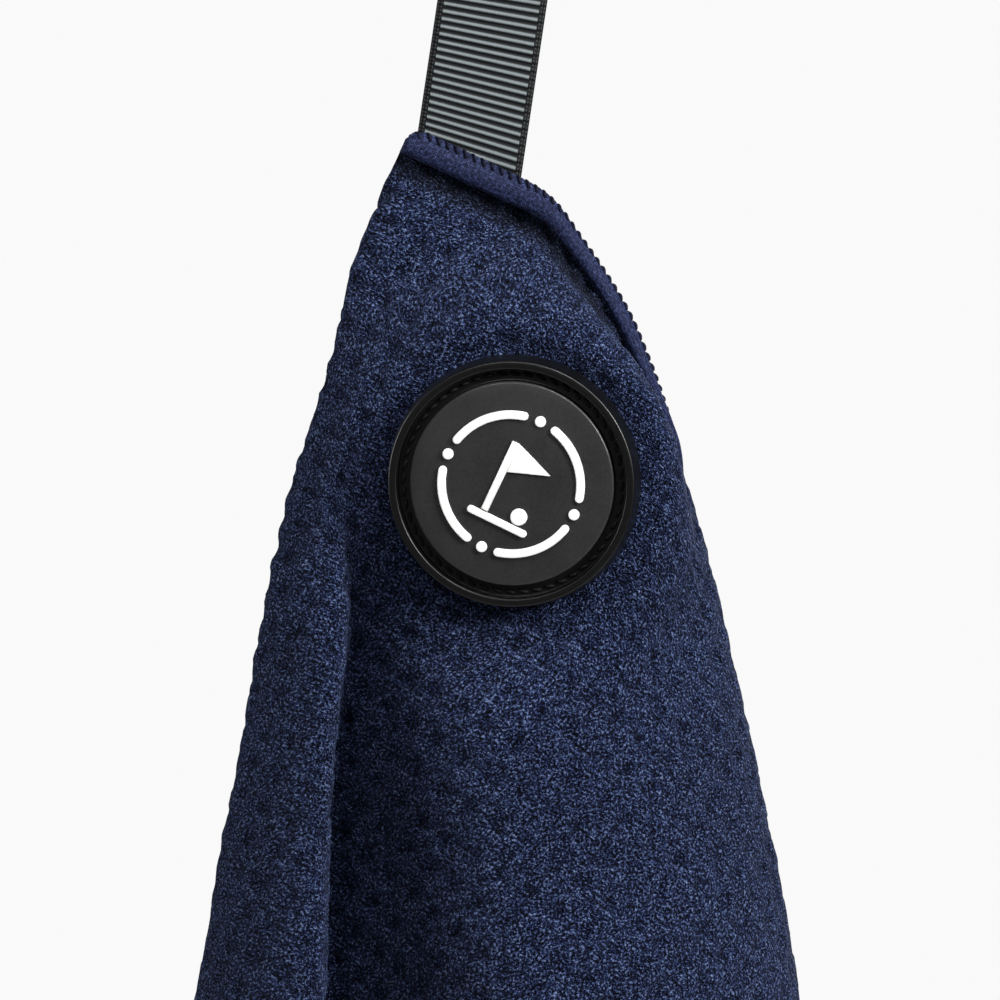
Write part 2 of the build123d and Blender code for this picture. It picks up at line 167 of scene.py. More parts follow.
def ramp(tree, value, stops):
    """A colour ramp: stops are (place, colour) pairs, a colour being three linear numbers or one grey."""
    made = add_node(tree, "ShaderNodeValToRGB", {"Fac": value})
    elements = made.color_ramp.elements
    while len(elements) < len(stops):
        elements.new(0.5)
    for element, (place, colour) in zip(elements, stops):
        element.position = place
        rgb = colour if hasattr(colour, "__len__") else (colour,) * 3
        element.color = (*rgb, 1)
    return made.outputs["Color"]


COLOUR_FACTOR, COLOUR_A, COLOUR_B, COLOUR_RESULT = 0, 6, 7, 2  # a Mix node's sockets for colours


def mixed(tree, share, first, second, blend_type="MIX"):
    """Two colours mixed: share is a number or a socket, first a socket, and second a socket or one grey."""
    made = add_node(tree, "ShaderNodeMix", data_type="RGBA", blend_type=blend_type, clamp_factor=True)
    for index, value in ((COLOUR_FACTOR, share), (COLOUR_A, first), (COLOUR_B, second)):
        if isinstance(value, bpy.types.NodeSocket):
            tree.links.new(value, made.inputs[index])
        else:
            made.inputs[index].default_value = value if index == COLOUR_FACTOR else (value, value, value, 1)
    return made.outputs[COLOUR_RESULT]


def flat_coordinates(tree):
    """The piece's own flat coordinates in millimetres, as a vector and its two parts."""
    uv = add_node(tree, "ShaderNodeTexCoord").outputs["UV"]
    scale = (FLAT_SCALE, FLAT_SCALE, 1)
    placed = add_node(tree, "ShaderNodeMapping", {"Vector": uv, "Scale": scale}).outputs["Vector"]
    parts = add_node(tree, "ShaderNodeSeparateXYZ", {"Vector": placed})
    return placed, parts.outputs["X"], parts.outputs["Y"]


def noise(tree, place, scale, detail=2.0, rough=0.5, distortion=0.0):
    made = add_node(
        tree,
        "ShaderNodeTexNoise",
        {"Vector": place, "Scale": scale, "Detail": detail, "Roughness": rough, "Distortion": distortion},
    )
    return made.outputs["Fac"]


def wave(tree, value, period):
    """A cosine from -1 to 1 with this period."""
    return sums(tree, "COSINE", sums(tree, "MULTIPLY", value, 2 * pi / period))


def new_material(name, roughness, **constants):
    """A material and its tree, with the numbers that are the same all over it."""
    material = bpy.data.materials.new(name)
    material.use_nodes = True
    tree = material.node_tree
    shader = tree.nodes["Principled BSDF"]
    shader.inputs["Roughness"].default_value = roughness
    for key, value in constants.items():
        shader.inputs[key.replace("_", " ")].default_value = value
    return material, tree, shader


def bump(tree, shader, height, depth, strength=1.0):
    made = add_node(tree, "ShaderNodeBump", {"Height": height, "Distance": depth * MM, "Strength": strength})
    tree.links.new(made.outputs["Normal"], shader.inputs["Normal"])


FLAT_SCALE = 100.0  # millimetres to one unit of every piece's flat coordinates
WAFFLE_PITCH = 6.9
GROOVE_MIDDLE, GROOVE_HALF_WIDTH, GROOVE_DEPTH = 8.3, 3.5, 1.2  # the dip in the pile beside the top hem, where the waffle material also paints shade


def waffle_material():
    """Curly navy microfibre: bright loops over near-black gaps, with painted shade in the pits and in the dip
    beside the top hem.
    """
    material, tree, shader = new_material(
        "waffle_cloth", 0.95, Sheen_Weight=0.05, Sheen_Roughness=0.4, Specular_IOR_Level=0.1
    )
    shader.inputs["Sheen Tint"].default_value = (0.5, 0.6, 1, 1)
    place, u, v = flat_coordinates(tree)
    curls = noise(tree, place, 1.9, detail=1.5, rough=0.8, distortion=0.3)
    clumps = noise(tree, place, 0.6, detail=1.0)
    pile = sums(tree, "ADD", sums(tree, "MULTIPLY", curls, 0.82), sums(tree, "MULTIPLY", clumps, 0.18))
    wander = noise(tree, place, 0.16, detail=1.0)
    drift = sums(tree, "MULTIPLY", sums(tree, "SUBTRACT", wander, 0.5), 3.0)
    u_moved, v_moved = (sums(tree, "ADD", part, drift) for part in (u, v))
    cells = sums(tree, "ADD", wave(tree, u_moved, WAFFLE_PITCH), wave(tree, v_moved, WAFFLE_PITCH))
    # Painted shade in the waffle pits: the pit mask lowers the pile value, which darkens the colour there a
    # little and also lowers the bump.
    pit = sums(tree, "MULTIPLY", sums(tree, "SUBTRACT", cells, 0.2), 0.55, clamp=True)
    stands = sums(tree, "SUBTRACT", pile, sums(tree, "MULTIPLY", pit, 0.03))
    colour = ramp(
        tree,
        stands,
        [
            (0.43, (0.0004, 0.0008, 0.004)),
            (0.5, (0.008, 0.0138, 0.048)),
            (0.565, (0.039, 0.06, 0.155)),
            (0.65, (0.17, 0.23, 0.405)),
        ],
    )
    # Painted shade: beside the top hem near the corner the colour is darkened down to 0.18, standing for the
    # shadow in the dip under the band.
    off_groove = sums(tree, "DIVIDE", sums(tree, "SUBTRACT", v, GROOVE_MIDDLE), GROOVE_HALF_WIDTH)
    beside_hem = sums(tree, "SUBTRACT", 1.0, sums(tree, "MULTIPLY", off_groove, off_groove), clamp=True)
    near_corner = sums(tree, "MULTIPLY", sums(tree, "SUBTRACT", 95.0, u), 0.03, clamp=True)
    groove_shade_mask = sums(tree, "MULTIPLY", beside_hem, near_corner)
    shade = sums(tree, "SUBTRACT", 1.0, sums(tree, "MULTIPLY", groove_shade_mask, 0.82))
    shaded = mixed(tree, 1.0, colour, ramp(tree, shade, [(0.0, 0.0), (1.0, 1.0)]), "MULTIPLY")
    cloud = noise(tree, place, 0.045, detail=2.0)
    clouded = mixed(tree, 1.0, shaded, ramp(tree, cloud, [(0.3, 0.8), (0.7, 1.0)]), "MULTIPLY")
    tree.links.new(clouded, shader.inputs["Base Color"])
    bump(tree, shader, stands, 2.2, 1.0)
    return material


def satin_material():
    """The hem's tight navy binding: fine courses of yarn across the band."""
    material, tree, shader = new_material(
        "hem_satin", 0.7, Sheen_Weight=0.08, Sheen_Roughness=0.35, Specular_IOR_Level=0.12
    )
    shader.inputs["Sheen Tint"].default_value = (0.55, 0.6, 1, 1)
    place, along_band, across_band = flat_coordinates(tree)
    fuzz = noise(tree, place, 1.6, detail=3.0, rough=0.7, distortion=0.5)
    courses = wave(tree, sums(tree, "ADD", along_band, sums(tree, "MULTIPLY", fuzz, 0.3)), 0.42)
    yarns = wave(tree, sums(tree, "ADD", across_band, sums(tree, "MULTIPLY", fuzz, 0.25)), 0.5)
    weave = sums(tree, "MULTIPLY", sums(tree, "ADD", sums(tree, "ADD", courses, yarns), 2.0), 0.25)
    speck = sums(tree, "ADD", sums(tree, "MULTIPLY", weave, 0.14), sums(tree, "MULTIPLY", fuzz, 0.86))
    colour = ramp(
        tree,
        speck,
        [(0.33, (0.001, 0.002, 0.009)), (0.5, (0.0085, 0.0125, 0.04)), (0.68, (0.045, 0.06, 0.15))],
    )
    tree.links.new(colour, shader.inputs["Base Color"])
    bump(tree, shader, speck, 0.16, 0.7)
    return material


THREAD_TWIST = 0.35


def thread_material(name, dark, light):
    """Twisted sewing thread."""
    material, tree, shader = new_material(name, 0.7, Specular_IOR_Level=0.15)
    place, along_thread, round_thread = flat_coordinates(tree)
    plies = wave(tree, sums(tree, "ADD", along_thread, round_thread), THREAD_TWIST)
    fuzz = noise(tree, place, 2.5, detail=2.0)
    shade = sums(tree, "ADD", sums(tree, "MULTIPLY", plies, 0.25), fuzz)
    tree.links.new(ramp(tree, shade, [(0.2, dark), (0.85, light)]), shader.inputs["Base Color"])
    bump(tree, shader, shade, 0.06, 0.8)
    return material


RIB_PITCH = 1.6
RIBBON_WIDTH = 22.0
SELVEDGE = 1.4


def ribbon_material():
    """Grey grosgrain: light ribs with painted shade in near black between them, and a dark selvedge with two
    columns of stitches.
    The flat coordinates are the distance across and the count of ribs times their pitch."""
    material, tree, shader = new_material("ribbon_grosgrain", 0.6, Sheen_Weight=0.05, Specular_IOR_Level=0.15)
    place, across, along_ribs = flat_coordinates(tree)
    # Painted shade: the colour goes near black in the recesses between the ribs, in step with their geometry,
    # while the crests keep the ribbon's light grey.
    rib = sums(tree, "MULTIPLY", sums(tree, "SUBTRACT", 1.0, wave(tree, along_ribs, RIB_PITCH)), 0.5)
    yarn = add_node(tree, "ShaderNodeMapping", {"Vector": place, "Scale": (3.2, 0.6, 1)}).outputs["Vector"]
    streak = noise(tree, yarn, 1.0, detail=3.0, rough=0.7)
    lit = sums(tree, "ADD", sums(tree, "MULTIPLY", rib, 0.86), sums(tree, "MULTIPLY", streak, 0.28))
    ribs = ramp(
        tree,
        lit,
        [(0.4, (0.001, 0.0013, 0.0018)), (0.66, (0.035, 0.043, 0.048)), (0.95, (0.2, 0.225, 0.23))],
    )
    edge = sums(tree, "ABSOLUTE", across)
    from_column = sums(tree, "SUBTRACT", edge, RIBBON_WIDTH / 2 - 0.35)
    column = sums(tree, "MULTIPLY", wave(tree, from_column, 0.62), 0.5)
    stitch = sums(tree, "MULTIPLY", wave(tree, along_ribs, RIB_PITCH / 2), 0.5)
    dots = sums(tree, "ADD", sums(tree, "ADD", column, stitch), 0.0, clamp=True)
    selvedge = ramp(tree, dots, [(0.35, (0.001, 0.0013, 0.0018)), (0.9, (0.05, 0.056, 0.058))])
    at_edge = sums(tree, "GREATER_THAN", edge, RIBBON_WIDTH / 2 - SELVEDGE)
    tree.links.new(mixed(tree, at_edge, ribs, selvedge), shader.inputs["Base Color"])
    bump(tree, shader, sums(tree, "ADD", lit, sums(tree, "MULTIPLY", at_edge, dots)), 0.1, 0.6)
    return material


def rubber_material(name, dark, light, roughness, grain, groove=None):
    """Moulded soft rubber with a fine matte grain. Between the groove's two places, counted along the lathed
    profile in its second flat coordinate, it is painted near black as shade in the recess."""
    material, tree, shader = new_material(name, roughness, Specular_IOR_Level=0.5)
    place = add_node(tree, "ShaderNodeTexCoord").outputs["Object"]
    speckle = noise(tree, place, 2200.0, detail=2.0)
    smear = noise(tree, place, 90.0, detail=3.0, rough=0.6)
    shade = sums(tree, "ADD", sums(tree, "MULTIPLY", speckle, 0.5), sums(tree, "MULTIPLY", smear, 0.5))
    colour = ramp(tree, shade, [(0.3, dark), (0.7, light)])
    # Painted shade: the groove between rim and disc is coloured near black for the shadow in the recess.
    if groove:
        _, _, profile_run = flat_coordinates(tree)
        after_start = sums(tree, "SUBTRACT", profile_run, groove[0])
        after_start = sums(tree, "MULTIPLY", after_start, 3.0, clamp=True)
        before_end = sums(tree, "SUBTRACT", groove[1], profile_run)
        before_end = sums(tree, "MULTIPLY", before_end, 3.0, clamp=True)
        colour = mixed(tree, sums(tree, "MULTIPLY", after_start, before_end), colour, 0.0012)
    tree.links.new(colour, shader.inputs["Base Color"])
    bump(tree, shader, speckle, grain, 0.5)
    return material


def plated_material():
    """Bright nickel with small scuffs."""
    material, tree, shader = new_material("magnet_plating", 0.28, Metallic=1.0)
    place = add_node(tree, "ShaderNodeTexCoord").outputs["Object"]
    scuff = noise(tree, place, 700.0, detail=4.0, rough=0.7)
    colour = ramp(tree, scuff, [(0.3, (0.42, 0.41, 0.39)), (0.7, (0.66, 0.65, 0.63))])
    tree.links.new(colour, shader.inputs["Base Color"])
    bump(tree, shader, scuff, 0.02, 0.4)
    return material


WAFFLE = waffle_material()
SATIN = satin_material()
NAVY_THREAD = thread_material("navy_thread", (0.0008, 0.001, 0.005), (0.009, 0.011, 0.034))
GREY_THREAD = thread_material("grey_thread", (0.02, 0.022, 0.024), (0.14, 0.15, 0.155))
BLACK_THREAD = thread_material("black_thread", (0.002, 0.002, 0.002), (0.016, 0.016, 0.017))
RIBBON = ribbon_material()
WHITE_RUBBER = rubber_material("white_rubber", (0.9, 0.9, 0.89), (0.97, 0.97, 0.96), 0.45, 0.03)
RETAINER = rubber_material("retainer_plastic", (0.008, 0.008, 0.008), (0.016, 0.016, 0.016), 0.4, 0.02)
PLATED = plated_material()

# ---------------------------------------------------------------- meshes


def mesh_piece(name, places, faces, flat, material, body, slot, nodes):
    """A smooth-shaded piece from points in millimetres, with its flat coordinates, that stands for CAD
    nodes."""
    mesh = bpy.data.meshes.new(name)
    mesh.from_pydata((np.asarray(places) * MM).tolist(), [], faces)
    corners = np.empty(len(mesh.loops), np.int32)
    mesh.loops.foreach_get("vertex_index", corners)
    layer = mesh.uv_layers.new(name="flat")
    layer.data.foreach_set("uv", (np.asarray(flat)[corners] / FLAT_SCALE).astype(np.float32).ravel())
    mesh.polygons.foreach_set("use_smooth", np.ones(len(mesh.polygons), bool))
    mesh.materials.append(material)
    mesh.update()
    piece = bpy.data.objects.new(name, mesh)
    scene.collection.objects.link(piece)
    if body:
        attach(piece, body)
    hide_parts(*nodes)
    return piece


def grid_faces(rows, columns, closed=False):
    """Quads over rows of points, each row closed on itself or open."""
    width = columns if closed else columns - 1
    i, j = np.meshgrid(np.arange(rows - 1), np.arange(width), indexing="ij")
    right = (j + 1) % columns
    row, next_row = i * columns, (i + 1) * columns
    return np.stack([row + j, row + right, next_row + right, next_row + j], -1).reshape(-1, 4).tolist()


def swept(rings):
    """Points and faces of a closed bar: rings has the shape (rows, points, 3)."""
    rows, points, _ = rings.shape
    faces = grid_faces(rows, points, closed=True)
    faces.append(list(range(points))[::-1])
    faces.append(list(range((rows - 1) * points, rows * points)))
    return rings.reshape(-1, 3), faces


def threads(paths, radius, sides=6):
    """Many short tubes: paths has the shape (tubes, points, 3), and radius has one number for each point."""
    count, points, _ = paths.shape
    ahead = np.gradient(paths, axis=1)
    ahead /= np.linalg.norm(ahead, axis=2, keepdims=True)
    chord = paths[:, -1] - paths[:, 0]
    arch = paths.mean(axis=1) - (paths[:, 0] + paths[:, -1]) / 2
    bend = np.cross(chord, arch)
    bend /= np.linalg.norm(bend, axis=1, keepdims=True)
    side = np.cross(ahead, bend[:, None, :])
    side /= np.linalg.norm(side, axis=2, keepdims=True)
    over = np.cross(ahead, side)
    angle = np.arange(sides) * 2 * pi / sides
    ring = side[:, :, None] * np.cos(angle)[:, None] + over[:, :, None] * np.sin(angle)[:, None]
    places = paths[:, :, None] + ring * np.asarray(radius)[None, :, None, None]
    corners = points * sides
    tube = grid_faces(points, sides, closed=True)
    tube += [list(range(sides))[::-1], list(range(corners - sides, corners))]
    faces = [[corner + k * corners for corner in face] for k in range(count) for face in tube]
    step = np.linalg.norm(np.diff(paths, axis=1), axis=2)
    run = np.concatenate([np.zeros((count, 1)), np.cumsum(step, axis=1)], axis=1)
    flat = np.stack(np.broadcast_arrays(run[:, :, None], angle * 0.2), -1)
    return places.reshape(-1, 3), faces, flat.reshape(-1, 2)


def smooth_step(value, low, high):
    share = np.clip((value - low) / (high - low), 0, 1)
    return share * share * (3 - 2 * share)


def soft_noise(x, y, cell, seed):
    """Smooth random values from -1 to 1, one new value to a cell."""
    lattice = np.random.default_rng(seed).uniform(-1, 1, (512, 512))
    x, y = np.asarray(x) / cell + 8, np.asarray(y) / cell + 8
    i, j = np.floor(x).astype(int), np.floor(y).astype(int)
    a, b = smooth_step(x - i, 0, 1), smooth_step(y - j, 0, 1)
    top = lattice[i, j] * (1 - b) + lattice[i, j + 1] * b
    bottom = lattice[i + 1, j] * (1 - b) + lattice[i + 1, j + 1] * b
    return top * (1 - a) + bottom * a


# ---------------------------------------------------------------- the hanging cloth
TOWEL_SIDE = 400.0
CLOTH_THICKNESS = 1.6
HEM_WIDTH = 5.6
LOOP_TO_HEM = 75.5
SEAM_FROM_CORNER, SEAM_HALF_LENGTH = 13.1, 11.5
LOOSENING, LOOSE_BETWEEN = 3.5, (3, 58)  # how the cloth comes free of the plane of its seam
CLOTH_Y = -2.0
UP_RIBBON = np.array(joints["ribbon_twist"]["axis"])
ACROSS_RIBBON = np.array(mounts["hang_loop"]["axis"])
ALONG_HEM = np.array(joints["hem_fold"]["axis"])
DOWN_SIDE = np.array([ALONG_HEM[2], 0, -ALONG_HEM[0]])
BACKWARD = np.array([0, 1, 0])
SEAM = UP_RIBBON * -LOOP_TO_HEM
CORNER = SEAM - ALONG_HEM * SEAM_FROM_CORNER + BACKWARD * CLOTH_Y

# Pairs of (drop below the corner, value). At each level the cloth goes round an open ellipse, from its near
# side hem behind the left to its top hem behind the right. Turns are in degrees: 180 is left and 0 is right.
LEFT_EDGE = [(0, -23), (31, -36), (71, -47.7), (117, -56.6), (176, -66.7), (300, -80), (420, -88), (560, -90)]
RIGHT_EDGE = [(0, -23), (12, 2.5), (21, 13.6), (36, 24), (47, 26.6), (59, 28.4), (89, 37.3), (130, 46.5),
              (176, 56.2), (300, 73.2), (420, 83.5), (560, 88)]
HALF_DEPTH = [(0, 1), (30, 8), (50, 13), (71, 18), (105, 25), (176, 38), (300, 54), (420, 60), (560, 52)]
SIDE_HEM_TURN = [(0, 180), (30, 184), (71, 192), (176, 216), (300, 235), (420, 240), (560, 255)]
TOP_HEM_TURN = [(0, 32), (30, 32), (45, 22), (59, 2), (71, -20), (100, -54), (140, -79), (176, -93),
                (300, -110), (420, -105), (560, -75)]
VALLEY_TURN = [(0, 122), (71, 116), (100, 112), (120, 110.5), (176, 107), (300, 107.5), (560, 112)]
VALLEY_WIDTH = 10.5
VALLEY_DEPTH = [(0, 0), (30, 0), (71, 9), (120, 23), (176, 32), (300, 42), (560, 44)]
# The valley tucks in behind the left roll.
VALLEY_LEAN = [(0, 0), (50, 0), (71, 5), (120, 14), (176, 18), (300, 19), (560, 16)]
FLUTE_SHARE = [(0, 0), (71, 0), (176, 0.13), (300, 0.33), (560, 0.43)]
FLUTES = 5
# The left half is drawn wider than the right.
SPREAD = [(0, 0), (35, 0), (71, 0.055), (110, 0.06), (200, 0.02), (300, 0)]
CENTRE_Y = [(0, 0), (71, 5), (176, 17), (300, 22), (560, 22)]
LEVEL_STEP, LEVEL_POINTS = 5.0, 180
HALVINGS = 15  # steps that find the level at which a place hangs


def along(pairs, value):
    """A smooth curve through the pairs, level before the first and straight after the last."""
    xs, ys = np.array(pairs, float).T
    before, after = np.r_[0, 0:len(xs) - 1], np.r_[1:len(xs), len(xs) - 1]
    slopes = (ys[after] - ys[before]) / (xs[after] - xs[before])
    value = np.asarray(value, float)
    i = np.clip(np.searchsorted(xs, value) - 1, 0, len(xs) - 2)
    run = xs[i + 1] - xs[i]
    t = np.clip((value - xs[i]) / run, 0, 1)
    rise = (2 * t**3 - 3 * t**2 + 1) * ys[i] + (-2 * t**3 + 3 * t**2) * ys[i + 1]
    smooth = rise + run * ((t**3 - 2 * t**2 + t) * slopes[i] + (t**3 - t**2) * slopes[i + 1])
    return smooth + np.maximum(value - xs[-1], 0) * slopes[-1]


def level_curve(drop):
    """The cloth's line round one level, in equal lengths from the side hem to the top hem."""
    share = np.linspace(0, 1, 4 * LEVEL_POINTS + 1)
    first, last = along(SIDE_HEM_TURN, drop), along(TOP_HEM_TURN, drop)
    turn = first + (last - first) * share
    angle = np.radians(turn)
    flute = 1 - along(FLUTE_SHARE, drop) * np.maximum(0, -np.sin(angle)) * (1 + np.cos(FLUTES * angle)) / 2
    valley = np.exp(-(((turn - along(VALLEY_TURN, drop)) / VALLEY_WIDTH) ** 2))
    left, right = along(LEFT_EDGE, drop), along(RIGHT_EDGE, drop)
    half_depth = along(HALF_DEPTH, drop)
    x = (left + right) / 2 + (right - left) / 2 * np.cos(angle) * flute - along(VALLEY_LEAN, drop) * valley
    y = along(CENTRE_Y, drop) - half_depth * np.sin(angle) * flute + along(VALLEY_DEPTH, drop) * valley
    length = np.r_[0, np.cumsum(np.hypot(np.diff(x), np.diff(y)))]
    even = np.linspace(0, length[-1], LEVEL_POINTS + 1)
    return np.stack([np.interp(even, length, x), np.interp(even, length, y)], -1)


LEVELS = np.stack([level_curve(LEVEL_STEP * i) for i in range(1 + int(2 * TOWEL_SIDE / LEVEL_STEP))])


def section(phi, drop):
    """Where the thread at angle phi from the side hem crosses the level that lies drop below the corner."""
    down = np.minimum(drop / LEVEL_STEP, len(LEVELS) - 1.001)
    share = np.clip(phi, 0, 89.999) / 90
    share = share + along(SPREAD, drop) * np.sin(pi * share)
    around = np.minimum(share, 0.9999) * LEVEL_POINTS
    i, j = down.astype(int), around.astype(int)
    a, b = (down - i)[..., None], (around - j)[..., None]
    upper = LEVELS[i, j] * (1 - b) + LEVELS[i, j + 1] * b
    lower = LEVELS[i + 1, j] * (1 - b) + LEVELS[i + 1, j + 1] * b
    return upper * (1 - a) + lower * a


def hanging(u, v):
    """The cloth far from its seam, hanging in a flattened bell."""
    reach = np.hypot(u, v)
    phi = np.degrees(np.arctan2(u, v))
    low, high = 0 * reach, reach
    for _ in range(HALVINGS):
        drop = (low + high) / 2
        place = section(phi, drop)
        sideways = np.hypot(place[..., 0] - CORNER[0], place[..., 1] - CLOTH_Y)
        too_far = np.hypot(sideways, drop) > reach
        low, high = np.where(too_far, low, drop), np.where(too_far, drop, high)
    return np.stack([place[..., 0], place[..., 1] + CLOTH_Y, CORNER[2] - drop], -1)


MAGNET_MIDDLE_HEIGHT = 1.6  # over the patch's back
PATCH_GAP = 0.5
PATCH_FLAT, PATCH_CALM = 28.5, 48.0
PATCH_U, PATCH_V = 54.0, 53.0
PATCH_TURN = radians(26.0)
PATCH_NORMAL = np.array(mounts["magnet_face"]["axis"])
magnet_low, magnet_high = (np.array(corner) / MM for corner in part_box("magnet"))
PATCH_BACK = (magnet_low + magnet_high) / 2 - PATCH_NORMAL * MAGNET_MIDDLE_HEIGHT
PATCH_CENTRE = PATCH_BACK - PATCH_NORMAL * (CLOTH_THICKNESS / 2 + PATCH_GAP)
PATCH_LEVEL = np.cross((0, 0, 1), PATCH_NORMAL)
PATCH_LEVEL /= np.linalg.norm(PATCH_LEVEL)
PATCH_RIGHT = PATCH_LEVEL * cos(PATCH_TURN) - np.cross(PATCH_NORMAL, PATCH_LEVEL) * sin(PATCH_TURN)
PATCH_UP = np.cross(PATCH_NORMAL, PATCH_RIGHT)


def drape(u, v):
    """The middle of the cloth: flat beside the ribbon and behind the patch, hanging free elsewhere."""
    beside_seam = np.maximum(0, np.abs(u - SEAM_FROM_CORNER) - SEAM_HALF_LENGTH)
    loose = smooth_step(np.hypot(LOOSENING * beside_seam, v), *LOOSE_BETWEEN)[..., None]
    sewn = CORNER + ALONG_HEM * u[..., None] + DOWN_SIDE * v[..., None]
    right, down = u - PATCH_U, v - PATCH_V
    away = np.hypot(right, down)
    free = smooth_step(away, PATCH_FLAT, PATCH_CALM)[..., None]
    flat = PATCH_CENTRE + PATCH_RIGHT * right[..., None] - PATCH_UP * down[..., None]
    return flat * (1 - free) + (sewn * (1 - loose) + hanging(u, v) * loose) * free


COARSE_STEP = 4.0
coarse_lines = np.arange(0, TOWEL_SIDE + 1, COARSE_STEP)
coarse = drape(*np.meshgrid(coarse_lines, coarse_lines, indexing="ij"))


def with_ghosts(grid):
    """The grid with one more row and column on every side, so that the surface reaches its edges."""
    grid = np.concatenate([2 * grid[:1] - grid[1:2], grid, 2 * grid[-1:] - grid[-2:-1]])
    return np.concatenate([2 * grid[:, :1] - grid[:, 1:2], grid, 2 * grid[:, -1:] - grid[:, -2:-1]], axis=1)


CONTROL = with_ghosts(coarse)


def spline_weights(value):
    """The cell of a place on a uniform cubic B-spline, and its four weights."""
    cell = np.clip((value / COARSE_STEP).astype(int), 0, len(coarse_lines) - 2)
    t = value / COARSE_STEP - cell
    weights = [(1 - t) ** 3, 3 * t**3 - 6 * t**2 + 4, -3 * t**3 + 3 * t**2 + 3 * t + 1, t**3]
    return cell, np.stack(weights, -1) / 6


def spread(u, v):
    """The smooth drape at any flat places."""
    u, v = (np.asarray(part, float) for part in np.broadcast_arrays(u, v))
    i, across = spline_weights(u)
    j, down = spline_weights(v)
    place = np.zeros(u.shape + (3,))
    for a in range(4):
        for b in range(4):
            place += CONTROL[i + a, j + b] * (across[..., a] * down[..., b])[..., None]
    return place


SLOPE_STEP = 0.4


def directions(surface, u, v):
    """Unit vectors along u, along v and out of the front."""
    along_u = surface(u + SLOPE_STEP, v) - surface(u - SLOPE_STEP, v)
    along_v = surface(u, v + SLOPE_STEP) - surface(u, v - SLOPE_STEP)
    out = np.cross(along_v, along_u)
    return tuple(part / np.linalg.norm(part, axis=-1, keepdims=True) for part in (along_u, along_v, out))


ROLL_LINE = 7.0  # the near side hem rolls back from here
ROLL_RADIUS, ROLL_TURN = 2.2, radians(115)
ROLL_BETWEEN = (10, 22)  # distances from the top hem over which the roll begins
SPARE, SPARE_FADES = 3.0, (18, 60)  # the roll's own width is made up beside the corner


def cloth(u, v):
    """The drape with its near side hem rolled back below the corner."""
    u, v = (np.asarray(part, float) for part in np.broadcast_arrays(u, v))
    place = spread(np.maximum(u, ROLL_LINE), v)
    along_u, _, out = directions(spread, np.full_like(u, ROLL_LINE), v)
    beyond = np.maximum(ROLL_LINE - u, 0)
    begun = smooth_step(v, *ROLL_BETWEEN)
    turn = np.minimum(beyond / ROLL_RADIUS, ROLL_TURN * begun)
    straight = beyond - turn * ROLL_RADIUS
    outward = ROLL_RADIUS * np.sin(turn) + straight * np.cos(turn)
    backward = ROLL_RADIUS * (1 - np.cos(turn)) + straight * np.sin(turn)
    place = place - along_u * outward[..., None] - out * backward[..., None]
    spare = SPARE * begun * (1 - smooth_step(v, *SPARE_FADES)) * (1 - smooth_step(u, ROLL_LINE, 45))
    return place - ALONG_HEM * spare[..., None]


BEHIND_PATCH = 0.5  # the pile is pressed down this far under the patch
PRESSED_BETWEEN = (24, 32)  # distances from the patch's middle
TAIL_PILE, DEEPEST_PILE = -0.75, -2.5  # the lowest the pile goes over the ribbon's tails, and elsewhere


def relief(u, v):
    """How far the pile stands over the drape: waffle cells, tufts, and the dip beside the top hem."""
    drift = 0.7 * soft_noise(u, v, 13.0, 1)
    cells = np.cos(2 * pi * (u + drift) / WAFFLE_PITCH) + np.cos(2 * pi * (v + drift) / WAFFLE_PITCH)
    pits = np.clip((cells - 0.3) / 1.7, 0, 1)
    tufts = 0.22 * soft_noise(u, v, 1.5, 2) + 0.22 * soft_noise(u, v, 3.1, 3)
    swell = 0.9 * soft_noise(u, v, 47.0, 4) + 0.4 * soft_noise(u, v, 21.0, 5)
    free = smooth_step(np.hypot(u - PATCH_U, v - PATCH_V), *PRESSED_BETWEEN)
    near_corner = 1 - smooth_step(u, 60, 110)
    dip = GROOVE_DEPTH * np.exp(-(((v - GROOVE_MIDDLE) / GROOVE_HALF_WIDTH) ** 2)) * near_corner
    bank = 1.3 * smooth_step(v, 8.5, 14) * (1 - smooth_step(v, 22, 55)) * near_corner
    height = free * (0.25 - 0.75 * pits + tufts + swell - dip + bank)
    height = height + (1 - free) * (0.4 * tufts - BEHIND_PATCH)
    over_tail = (1 - smooth_step(np.abs(u - SEAM_FROM_CORNER), 11, 14)) * (1 - smooth_step(v, 14, 18))
    return np.maximum(height, TAIL_PILE * over_tail + DEEPEST_PILE * (1 - over_tail))


def on_cloth(u, v, height):
    """Places over the front of the cloth's middle."""
    return cloth(u, v) + directions(cloth, u, v)[2] * np.asarray(height)[..., None]


# ---------------------------------------------------------------- cloth sheet
FINE_STEP, FINE_UNTIL, WIDE_STEP = 0.9, 150.0, 1.8
SHEET_LAP = 3.0  # the pile's edge lies this far inside the towel's, within the hem bands
EDGE_ROOM = 0.3  # beside the near band it ends this far inside, as the long bands do at their ends
fine_lines = np.arange(SHEET_LAP, FINE_UNTIL, FINE_STEP)
lines = np.r_[fine_lines, np.arange(FINE_UNTIL, TOWEL_SIDE - SHEET_LAP, WIDE_STEP)]
over_near_hem = np.arange(EDGE_ROOM, SHEET_LAP, FINE_STEP)
sheet_u, sheet_v = np.meshgrid(np.r_[over_near_hem, lines], lines, indexing="ij")
sheet_places = on_cloth(sheet_u, sheet_v, relief(sheet_u, sheet_v))
towel = mesh_piece(
    "towel_waffle_cloth",
    sheet_places.reshape(-1, 3),
    grid_faces(*sheet_u.shape),
    np.stack([sheet_u, sheet_v], -1).reshape(-1, 2),
    WAFFLE,
    "towel",
    "waffle_cloth",
    ["towel_cloth"],
)

